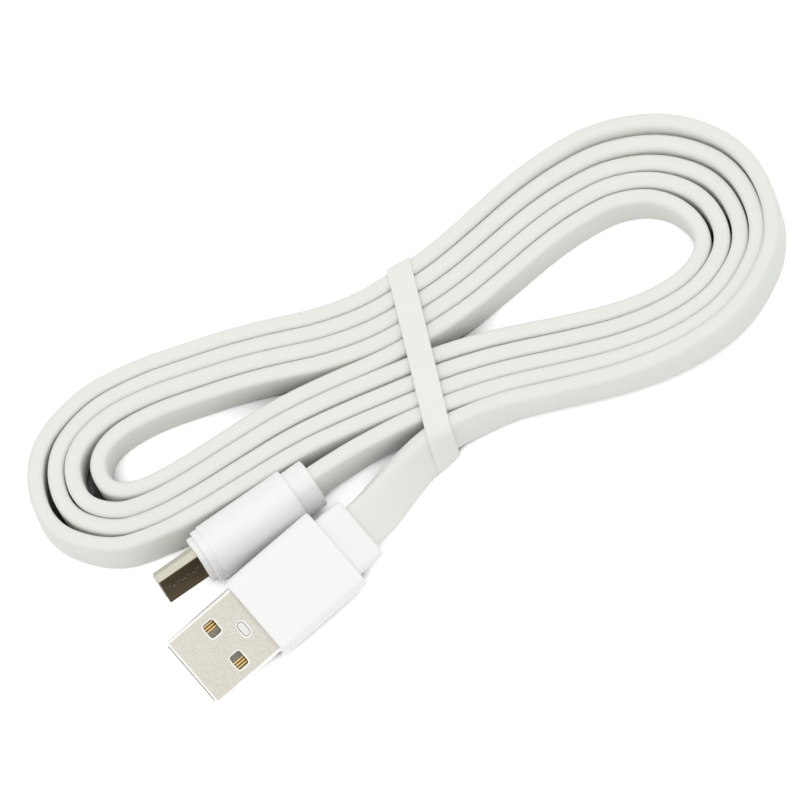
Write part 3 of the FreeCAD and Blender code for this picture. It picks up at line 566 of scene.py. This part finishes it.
def seam_cutter(height):
    """A thin stepped wall that cuts a folded shell's seam as a groove into the face at that height."""
    centre = []
    steps = int(A_SHELL_REAR / A_SEAM_STEP) + 1
    for step in range(steps):
        y = A_SEAM_JOG / 2 * (-1) ** step
        centre += [Vector((step * A_SEAM_STEP, y, 0)), Vector(((step + 1) * A_SEAM_STEP, y, 0))]
    centre[0].x = -CUT_PAST
    outline = [[], []]
    for i, point in enumerate(centre):
        ways = [(b - a).normalized() for a, b in zip(centre[max(i - 1, 0):i + 1], centre[max(i, 1):i + 2])]
        across = sum((Vector((-way.y, way.x, 0)) for way in ways), Vector((0, 0, 0)))
        for side, points in zip((1, -1), outline):
            points.append(point + across * side * A_SEAM_WIDTH / 2)
    ring = outline[0] + outline[1][::-1]
    count = len(ring)
    low = height - A_SEAM_DEPTH
    vertices = [(p.x, p.y, z) for z in (low, height + A_SEAM_DEPTH) for p in ring]
    faces = [[k, (k + 1) % count, count + (k + 1) % count, count + k] for k in range(count)]
    faces += [list(range(count))[::-1], list(range(count, 2 * count))]
    cutter = mesh_piece("seam", vertices, faces)
    make_active(cutter)
    bpy.ops.object.mode_set(mode="EDIT")
    bpy.ops.mesh.select_all(action="SELECT")
    bpy.ops.mesh.normals_make_consistent(inside=False)
    bpy.ops.object.mode_set(mode="OBJECT")
    return cutter


def shell_a(place):
    half = A_SHELL_SIZE[1] / 2
    shell = plug_block("shell_a", 0, A_SHELL_REAR, A_SHELL_SIZE, A_SHELL_CORNER, front_edge=A_LIP, steps=8)
    room = plug_block("room", A_SHELL_WALL, A_SHELL_REAR + CUT_PAST, shrunk(A_SHELL_SIZE, A_SHELL_WALL),
                      A_SHELL_CORNER - A_SHELL_WALL)
    mouth = plug_block("mouth", -CUT_PAST, CUT_PAST, A_MOUTH_SIZE, A_SHELL_CORNER - A_SHELL_WALL)
    windows = [upright_block(A_WINDOW_MIDDLE[0], side * A_WINDOW_MIDDLE[1], A_WINDOW, A_WINDOW_CORNER)
               for side in (-1, 1)]
    slot = upright_block(A_SLOT_MIDDLE, 0, A_SLOT, A_SLOT[0] / 2 - ALMOST_ROUND)
    slot.data.transform(Matrix.Translation((0, 0, UPRIGHT_HEIGHT / 2)))
    rims = [rim_cutter(A_WINDOW_MIDDLE[0], side * A_WINDOW_MIDDLE[1], A_WINDOW, A_WINDOW_CORNER, height)
            for side in (-1, 1) for height in (-half, half)]
    slot_rim = rim_cutter(A_SLOT_MIDDLE, 0, A_SLOT, A_SLOT[0] / 2 - ALMOST_ROUND, half)
    cut(shell, room, mouth, slot, slot_rim, *windows, *rims)
    cut(shell, seam_cutter(-half))
    shell.data.transform(place)
    finish_piece(shell, "usb_a_shell_steel", "usb_a_shell", angle=10.0)


def key_boss(place):
    """The white boss that fills the keying slot."""
    half = A_SHELL_SIZE[1] / 2
    boss = upright_block(A_SLOT_MIDDLE, 0, A_BOSS, A_BOSS[0] / 2 - ALMOST_ROUND)
    boss.name = "key_boss"
    trims = []
    for height in (half - A_SHELL_WALL - UPRIGHT_HEIGHT / 2, half - A_BOSS_DROP + UPRIGHT_HEIGHT / 2):
        trim = upright_block(A_SLOT_MIDDLE, 0, A_BOSS_TRIM, A_BOSS_TRIM_CORNER)
        trim.data.transform(Matrix.Translation((0, 0, height)))
        trims.append(trim)
    cut(boss, *trims)
    apply_modifier(boss, "BEVEL", width=A_BOSS_EDGE, segments=3, limit_method="ANGLE", angle_limit=1.0)
    boss.data.transform(place)
    finish_piece(boss, "mould_white")


def contact_a(name, side, node, place):
    """A contact with three rounded ridges."""
    front, block, end = A_CONTACT_ENDS
    thickness = A_CONTACT_THICKNESS - A_RIDGE / 3
    strip = plug_block(name, front, end, (A_CONTACT_WIDTH, thickness), A_CONTACT_CORNER,
                       front_edge=A_CONTACT_EDGE, steps=2)
    strip.data.transform(Matrix.Translation((0, 0, A_CONTACT_TOP - A_CONTACT_THICKNESS + thickness / 2)))
    ridges = []
    for step in (-1, 0, 1):
        ridge = plug_block("ridge", front + A_RIDGE_START, block, (A_RIDGE, A_RIDGE),
                           A_RIDGE * A_RIDGE_ROUND[0], front_edge=A_RIDGE * A_RIDGE_ROUND[1], steps=4)
        ridge.data.transform(Matrix.Translation((0, step * A_RIDGE_PITCH, A_CONTACT_TOP - A_RIDGE / 2)))
        ridges.append(ridge)
    join(strip, *ridges)
    strip.data.transform(place @ Matrix.Translation((0, side * A_CONTACT_Y, 0)))
    finish_piece(strip, "gilt_contact", node)


# Micro-B plug

def seam_glints_b(place):
    """The raised lip of the folded shell's seam, as bright dashes on two lines: their light solder tone is a
    painted highlight where the lip's edges catch the light.
    """
    glints = None
    for glint in range(B_SEAM_GLINTS):
        front = B_SEAM_FRONT + glint * B_SEAM_STEP
        piece = plug_block("seam_glints_b", front, front + B_SEAM_GLINT_LENGTH, B_SEAM_SIZE,
                           B_SEAM_SIZE[1] * B_SEAM_ROUND, steps=2)
        line = B_SEAM_Y + B_SEAM_JOG / 2 * (-1) ** glint
        piece.data.transform(Matrix.Translation((0, line, B_SHELL_LIFT + B_SHELL_SIZE[1] / 2)))
        if glints is None:
            glints = piece
        else:
            join(glints, piece)
    glints.data.transform(place)
    finish_piece(glints, "solder")


def sleeve_b(place):
    sleeve = plug_block("sleeve_b", B_STEP_REAR, B_SLEEVE_REAR, B_SLEEVE_SIZE, B_SLEEVE_CORNER,
                        front_edge=B_SLEEVE_EDGES[0], rear_edge=B_SLEEVE_EDGES[1], steps=14)
    step = plug_block("step", B_SLEEVE_FRONT, B_STEP_REAR + B_OVERLAP, shrunk(B_SLEEVE_SIZE, B_STEP_INSET),
                      B_SLEEVE_CORNER - B_STEP_INSET, front_edge=B_STEP_EDGE, steps=14)
    join(sleeve, step)
    room = plug_block("room", B_SLEEVE_FRONT - CUT_PAST, B_SLEEVE_REAR + CUT_PAST,
                      shrunk(B_SLEEVE_SIZE, B_SLEEVE_WALL), B_SLEEVE_CORNER - B_SLEEVE_WALL, steps=14)
    cut(sleeve, room)
    sleeve.data.transform(place)
    finish_piece(sleeve, "sleeve_gloss", "micro_sleeve")


def collar_b(place):
    body = plug_block("collar_b", B_SLEEVE_FRONT, B_SLEEVE_REAR, shrunk(B_SLEEVE_SIZE, B_SLEEVE_WALL),
                      B_SLEEVE_CORNER - B_SLEEVE_WALL, steps=12)
    flange = plug_block("flange", B_FLANGE_FRONT, B_SLEEVE_FRONT + B_OVERLAP, B_FLANGE_SIZE,
                        B_FLANGE_CORNER, front_edge=B_FLANGE_EDGE, steps=12)
    collar = plug_block("collar", B_SLEEVE_REAR - CUT_PAST, B_COLLAR_REAR, B_COLLAR_SIZE, B_COLLAR_CORNER,
                        rear_edge=B_COLLAR_EDGE, steps=12)
    join(body, flange, collar)
    hole = plug_block("hole", B_FLANGE_FRONT - CUT_PAST, B_SLEEVE_REAR - SHELL_HOLD, B_SHELL_SIZE,
                      B_SHELL_CORNER)
    hole.data.transform(Matrix.Translation((0, 0, B_SHELL_LIFT)))
    cut(body, hole)
    body.data.transform(place)
    finish_piece(body, "mould_white", "micro_inner_mould")


# Ribbon

RIGHT = (RIGHT_LOOP, RIGHT_TURNS, RIGHT_GAPS, RIGHT_NEAR_GAPS, RIGHT_WIDEST, RIGHT_SPREAD, 1)
LEFT = (LEFT_LOOP, LEFT_TURNS, LEFT_GAPS, LEFT_NEAR_GAPS, LEFT_WIDEST, LEFT_SPREAD, -1)


def bump(share, middle, spread):
    return math.exp(-((share - middle) / spread) ** 2)


def turn_points(loop, turn):
    """One turn's points, stepped out from the innermost turn's."""
    guide, turns, gaps, near_gaps, widest, spread, outward = loop
    last = len(guide) - 1
    points = []
    for i, (x, y) in enumerate(guide):
        before = guide[max(i - 1, 0)]
        after = guide[min(i + 1, last)]
        run = math.dist(before, after)
        share = i / last
        opened = sum(near_gaps[turn - 1:]) * bump(share, 1, NEAR_SPREAD)
        for gap, at, width in list(zip(gaps, widest, spread))[turn - 1:]:
            opened += gap * bump(share, at, width)
        step = (turns - turn) * TURN_PITCH + opened
        if i in (0, last):
            points.append((x, y + (step if i == 0 else -step)))
        else:
            points.append((x - outward * step * (after[1] - before[1]) / run,
                           y + outward * step * (after[0] - before[0]) / run))
    return points


def station(x, y, z, side, lean):
    """The ribbon's middle and the middle of its top edge, which leans from upright towards side."""
    turn = math.radians(lean)
    middle = Vector((x, y, z))
    return middle, middle + (side * math.sin(turn) + Vector((0, 0, math.cos(turn)))) * RIBBON_WIDTH / 2


def level_side(points, i):
    """The level direction to the left of the way through the points."""
    before = points[max(i - 1, 0)]
    after = points[min(i + 1, len(points) - 1)]
    return Vector((before[1] - after[1], after[0] - before[0], 0)).normalized()


def turn_stations(side, turn):
    """A turn's stations, from its far end at the waist to its near end."""
    if side == "right":
        loop, lifts, leans = RIGHT, RIGHT_LIFTS, RIGHT_LEANS
    else:
        loop, lifts, leans = LEFT, LEFT_LIFTS, LEFT_LEANS
    points = turn_points(loop, turn)
    outward = loop[-1]
    stations = []
    for i, (x, y) in enumerate(points):
        share = i / (len(points) - 1)
        out = math.sin(math.pi * share)
        z = RIBBON_WIDTH / 2 + WAIST_LIFT * (1 - out) + lifts[turn - 1] * out
        lean = sum(degrees * bump(share, at, LEAN_SPREAD) for which, at, degrees in leans if which == turn)
        stations.append(station(x, y, z, level_side(points, i) * outward, lean))
    return stations


def tail_stations(points):
    """Stations of a tail, whose points run towards the plug and lean away from the viewer."""
    return [station(x, y, z, -level_side(points, i), lean) for i, (x, y, z, lean) in enumerate(points)]


def plug_end(tip, heading, rear, height, lean):
    way = math.radians(heading)
    return (tip[0] + rear * math.cos(way), tip[1] + rear * math.sin(way), height, lean)


def ribbon_stations():
    """The whole way of the ribbon, from the Micro-B plug through the hank to the USB-A plug."""
    end_b = plug_end(PLUG_B_TIP, PLUG_B_HEADING, B_COLLAR_REAR - RIBBON_SUNK, PLUG_B_TIP[2], TAIL_B_LEAN)
    end_a = plug_end(PLUG_A_TIP, PLUG_A_HEADING, A_COLLAR_REAR - RIBBON_SUNK, PLUG_A_TIP[2],
                     90 - PLUG_A_LEAN)
    stations = tail_stations(TAIL_B + [end_b])[::-1]
    winding = (("right", 2, False), ("left", 2, True), ("right", 4, False), ("left", 4, True),
               ("right", 5, True), ("left", 3, False), ("right", 3, True), ("left", 1, False),
               ("right", 1, True))
    for i, (side, turn, forward) in enumerate(winding):
        turn_way = turn_stations(side, turn)
        if not forward:
            turn_way.reverse()
        stations += turn_way if i == 0 else turn_way[1:]
    del stations[-TAIL_A_LANE_POINTS:]
    return stations + tail_stations(TAIL_A + [end_a])


def smooth_line(name, points):
    """Points read from a smooth open spline with those control points."""
    curve = bpy.data.curves.new(name, "CURVE")
    curve.dimensions = "3D"
    curve.resolution_u = ROUTE_STEPS
    spline = curve.splines.new("NURBS")
    spline.points.add(len(points) - 1)
    for knot, point in zip(spline.points, points):
        knot.co = (*point, 1.0)
    spline.order_u = 3
    spline.use_endpoint_u = True
    holder = bpy.data.objects.new(name, curve)
    bpy.context.scene.collection.objects.link(holder)
    bpy.context.view_layer.update()
    line = bpy.data.meshes.new_from_object(holder)
    found = [v.co.copy() for v in line.vertices]
    bpy.data.objects.remove(holder)
    return found


def ribbon_section():
    """The ribbon's rounded section, as shares across its width and through its thickness."""
    points = []
    half_width = RIBBON_WIDTH / 2 - RIBBON_CORNER
    half_thickness = RIBBON_THICKNESS / 2 - RIBBON_CORNER
    for quarter, (a, b) in enumerate(((1, 1), (-1, 1), (-1, -1), (1, -1))):
        for step in range(CORNER_STEPS + 1):
            turn = math.pi / 2 * (quarter + step / CORNER_STEPS)
            points.append((a * half_width + RIBBON_CORNER * math.cos(turn),
                           b * half_thickness + RIBBON_CORNER * math.sin(turn)))
    return points


def ribbon():
    stations = ribbon_stations()
    line = smooth_line("ribbon_middle", [middle for middle, top in stations])
    edge = smooth_line("ribbon_edge", [top for middle, top in stations])
    apart = [i for i in range(len(line)) if i == 0 or (line[i] - line[i - 1]).length > SAME_PLACE]
    line = [line[i] for i in apart]
    edge = [edge[i] for i in apart]
    section = ribbon_section()
    vertices = []
    for i, middle in enumerate(line):
        along = (line[min(i + 1, len(line) - 1)] - line[max(i - 1, 0)]).normalized()
        across = edge[i] - middle
        across = (across - along * across.dot(along)).normalized()
        through = along.cross(across)
        vertices += [middle + across * a + through * b for a, b in section]
    count = len(section)
    faces = tube_faces(len(line), count)
    faces.append(list(range(count))[::-1])
    faces.append([(len(line) - 1) * count + k for k in range(count)])
    piece = mesh_piece("ribbon", vertices, faces)
    finish_piece(piece, "ribbon_jacket", "cord_hank", "cord_tail_a", "cord_tail_b")


# Band

def rounded_loop(corners, radii, steps=10):
    """A closed outline with rounded corners, all its points in one plane."""
    points = []
    around = zip(corners[-1:] + corners[:-1], corners, corners[1:] + corners[:1], radii)
    for before, corner, after, radius in around:
        back = (before - corner).normalized()
        ahead = (after - corner).normalized()
        reach = radius / math.tan(back.angle(ahead) / 2)
        start = corner + back * reach
        end = corner + ahead * reach
        for step in range(steps + 1):
            t = step / steps
            points.append(start * (1 - t) ** 2 + corner * 2 * t * (1 - t) + end * t ** 2)
    return points


def band():
    loops = []
    low = BAND_THICKNESS / 2
    for row in range(BAND_ROWS):
        t = row / (BAND_ROWS - 1)
        x = BAND_WIDTH * (t - 0.5)
        top, bottom, height = [a * (1 - t) + b * t for a, b in zip(*BAND_NEAR)]
        far = BAND_FAR_Y[0] * (1 - t) + BAND_FAR_Y[1] * t
        corners = [Vector((x, y, z)) for y, z in ((far, low), (far, BAND_TOP), (top, BAND_TOP),
                                                  (bottom, height))]
        loops.append(rounded_loop(corners, (BAND_CORNER, BAND_CORNER, BAND_NEAR_CORNER, BAND_CORNER)))
    count = len(loops[0])
    vertices = [p for loop in loops for p in loop]
    piece = mesh_piece("band", vertices, tube_faces(BAND_ROWS, count))
    skewed = Matrix.Rotation(math.radians(BAND_SKEW), 4, "Z")
    piece.data.transform(Matrix.Translation((BAND_X, 0, 0)) @ skewed)
    apply_modifier(piece, "SOLIDIFY", thickness=BAND_THICKNESS, offset=0.0)
    apply_modifier(piece, "BEVEL", width=BAND_EDGE, segments=3, limit_method="ANGLE")
    finish_piece(piece, "tie_band_white", "tie_band")


# Scene

def floor():
    deselect()
    bpy.ops.mesh.primitive_plane_add(size=FLOOR_SIZE, location=(0, 0, 0))
    plane = bpy.context.active_object
    plane.name = "floor"
    material = bpy.data.materials.new("Pale floor with painted gap shade")
    material.use_nodes = True
    nodes, links = material.node_tree.nodes, material.node_tree.links
    shader = nodes["Principled BSDF"]
    shader.inputs["Roughness"].default_value = 0.9
    shader.inputs["Specular IOR Level"].default_value = 0.1
    openness = nodes.new("ShaderNodeAmbientOcclusion")
    openness.inputs["Distance"].default_value = FLOOR_REACH
    openness.samples = FLOOR_SAMPLES
    open_floor = nodes.new("ShaderNodeMapRange")
    open_floor.inputs["From Min"].default_value = FLOOR_OPENNESS[0]
    open_floor.inputs["From Max"].default_value = FLOOR_OPENNESS[1]
    open_floor.inputs["To Max"].default_value = FLOOR_GLOW
    # The floor's tone goes from pale to near-black where little sky reaches it: painted shade in the narrow
    # gaps
    painted_gap_shade = nodes.new("ShaderNodeMix")
    painted_gap_shade.data_type = "RGBA"
    painted_gap_shade.inputs["A"].default_value = FLOOR_GAP_SHADE
    painted_gap_shade.inputs["B"].default_value = FLOOR_PALE
    bare = nodes.new("ShaderNodeMapRange")
    bare.inputs["From Max"].default_value = FLOOR_GLOW
    links.new(open_floor.outputs["Result"], bare.inputs["Value"])
    links.new(bare.outputs["Result"], painted_gap_shade.inputs["Factor"])
    links.new(painted_gap_shade.outputs["Result"], shader.inputs["Base Color"])
    path = nodes.new("ShaderNodeLightPath")
    glossy = nodes.new("ShaderNodeMath")
    glossy.operation = "MAXIMUM"
    seen = nodes.new("ShaderNodeMath")
    seen.operation = "MAXIMUM"
    strength = nodes.new("ShaderNodeMath")
    strength.operation = "MULTIPLY"
    glow = nodes.new("ShaderNodeEmission")
    add = nodes.new("ShaderNodeAddShader")
    links.new(openness.outputs["AO"], open_floor.inputs["Value"])
    links.new(path.outputs["Is Glossy Ray"], glossy.inputs[0])
    links.new(path.outputs["Is Transmission Ray"], glossy.inputs[1])
    links.new(path.outputs["Is Camera Ray"], seen.inputs[0])
    links.new(glossy.outputs["Value"], seen.inputs[1])
    links.new(open_floor.outputs["Result"], strength.inputs[0])
    links.new(seen.outputs["Value"], strength.inputs[1])
    links.new(strength.outputs["Value"], glow.inputs["Strength"])
    links.new(shader.outputs["BSDF"], add.inputs[0])
    links.new(glow.outputs["Emission"], add.inputs[1])
    links.new(add.outputs["Shader"], nodes["Material Output"].inputs["Surface"])
    plane.data.materials.append(material)


def world():
    sky = bpy.data.worlds.new("Studio")
    bpy.context.scene.world = sky
    sky.use_nodes = True
    nodes, links = sky.node_tree.nodes, sky.node_tree.links
    nodes.clear()
    leave = nodes.new("ShaderNodeOutputWorld")
    light = nodes.new("ShaderNodeBackground")
    light.inputs["Color"].default_value = (1.0, 1.0, 0.99, 1.0)
    place = nodes.new("ShaderNodeTexCoord")
    height = nodes.new("ShaderNodeSeparateXYZ")
    level = nodes.new("ShaderNodeMapRange")
    level.inputs["To Min"].default_value = WORLD_LOW
    level.inputs["To Max"].default_value = WORLD_HIGH
    links.new(place.outputs["Generated"], height.inputs["Vector"])
    links.new(height.outputs["Z"], level.inputs["Value"])
    links.new(level.outputs["Result"], light.inputs["Strength"])
    shown = nodes.new("ShaderNodeBackground")
    shown.inputs["Color"].default_value = (1.0, 1.0, 1.0, 1.0)
    shown.inputs["Strength"].default_value = 1.0
    path = nodes.new("ShaderNodeLightPath")
    mix = nodes.new("ShaderNodeMixShader")
    links.new(path.outputs["Is Camera Ray"], mix.inputs[0])
    links.new(light.outputs["Background"], mix.inputs[1])
    links.new(shown.outputs["Background"], mix.inputs[2])
    links.new(mix.outputs["Shader"], leave.inputs["Surface"])


def soft_lamp(name, place, size, power):
    """A square lamp that looks at the cable's middle."""
    data = bpy.data.lights.new(name, "AREA")
    data.shape = "SQUARE"
    data.size = size
    data.energy = power
    lamp = bpy.data.objects.new(name, data)
    lamp.location = place
    lamp.rotation_euler = (Vector(place) - Vector(CAMERA_TARGET)).to_track_quat("Z", "Y").to_euler()
    bpy.context.scene.collection.objects.link(lamp)


def camera():
    elevation = math.radians(CAMERA_ELEVATION)
    roll = math.radians(CAMERA_ROLL)
    back = Vector((0, -math.cos(elevation), math.sin(elevation)))
    level = Vector((1, 0, 0))
    upright = Vector((0, math.sin(elevation), math.cos(elevation)))
    right = level * math.cos(roll) - upright * math.sin(roll)
    up = level * math.sin(roll) + upright * math.cos(roll)
    data = bpy.data.cameras.new("Photo camera")
    data.sensor_width = SENSOR
    data.lens = SENSOR * CAMERA_DISTANCE * 1000 * CAMERA_SCALE / IMAGE_SIZE
    data.clip_start, data.clip_end = CLIP
    holder = bpy.data.objects.new("Photo camera", data)
    turn = Matrix((right, up, back)).transposed().to_4x4()
    holder.matrix_world = Matrix.Translation(Vector(CAMERA_TARGET) + back * CAMERA_DISTANCE) @ turn
    bpy.context.scene.collection.objects.link(holder)
    bpy.context.scene.camera = holder


def main():
    bpy.context.scene.view_settings.view_transform = "Standard"
    for part in frame["record"]["subparts"]:
        node = frame["nodes"][part["node"]]
        node.data.materials.clear()
        node.data.materials.append(MATERIALS[part["material_slot"]])
    camera()
    ribbon()
    band()
    place_a = plug_place(PLUG_A_TIP, PLUG_A_HEADING, PLUG_A_LEAN)
    place_b = plug_place(PLUG_B_TIP, PLUG_B_HEADING, PLUG_B_LEAN)
    shell_a(place_a)
    contact_a("contact_power", 1, "usb_a_contact_power", place_a)
    contact_a("contact_ground", -1, "usb_a_contact_ground", place_a)
    key_boss(place_a)
    sleeve_a(place_a)
    collar_a(place_a)
    seam_glints_b(place_b)
    sleeve_b(place_b)
    collar_b(place_b)
    floor()
    world()
    soft_lamp("Overhead lamp", LAMP_PLACE, LAMP_SIZE, LAMP_POWER)


main()
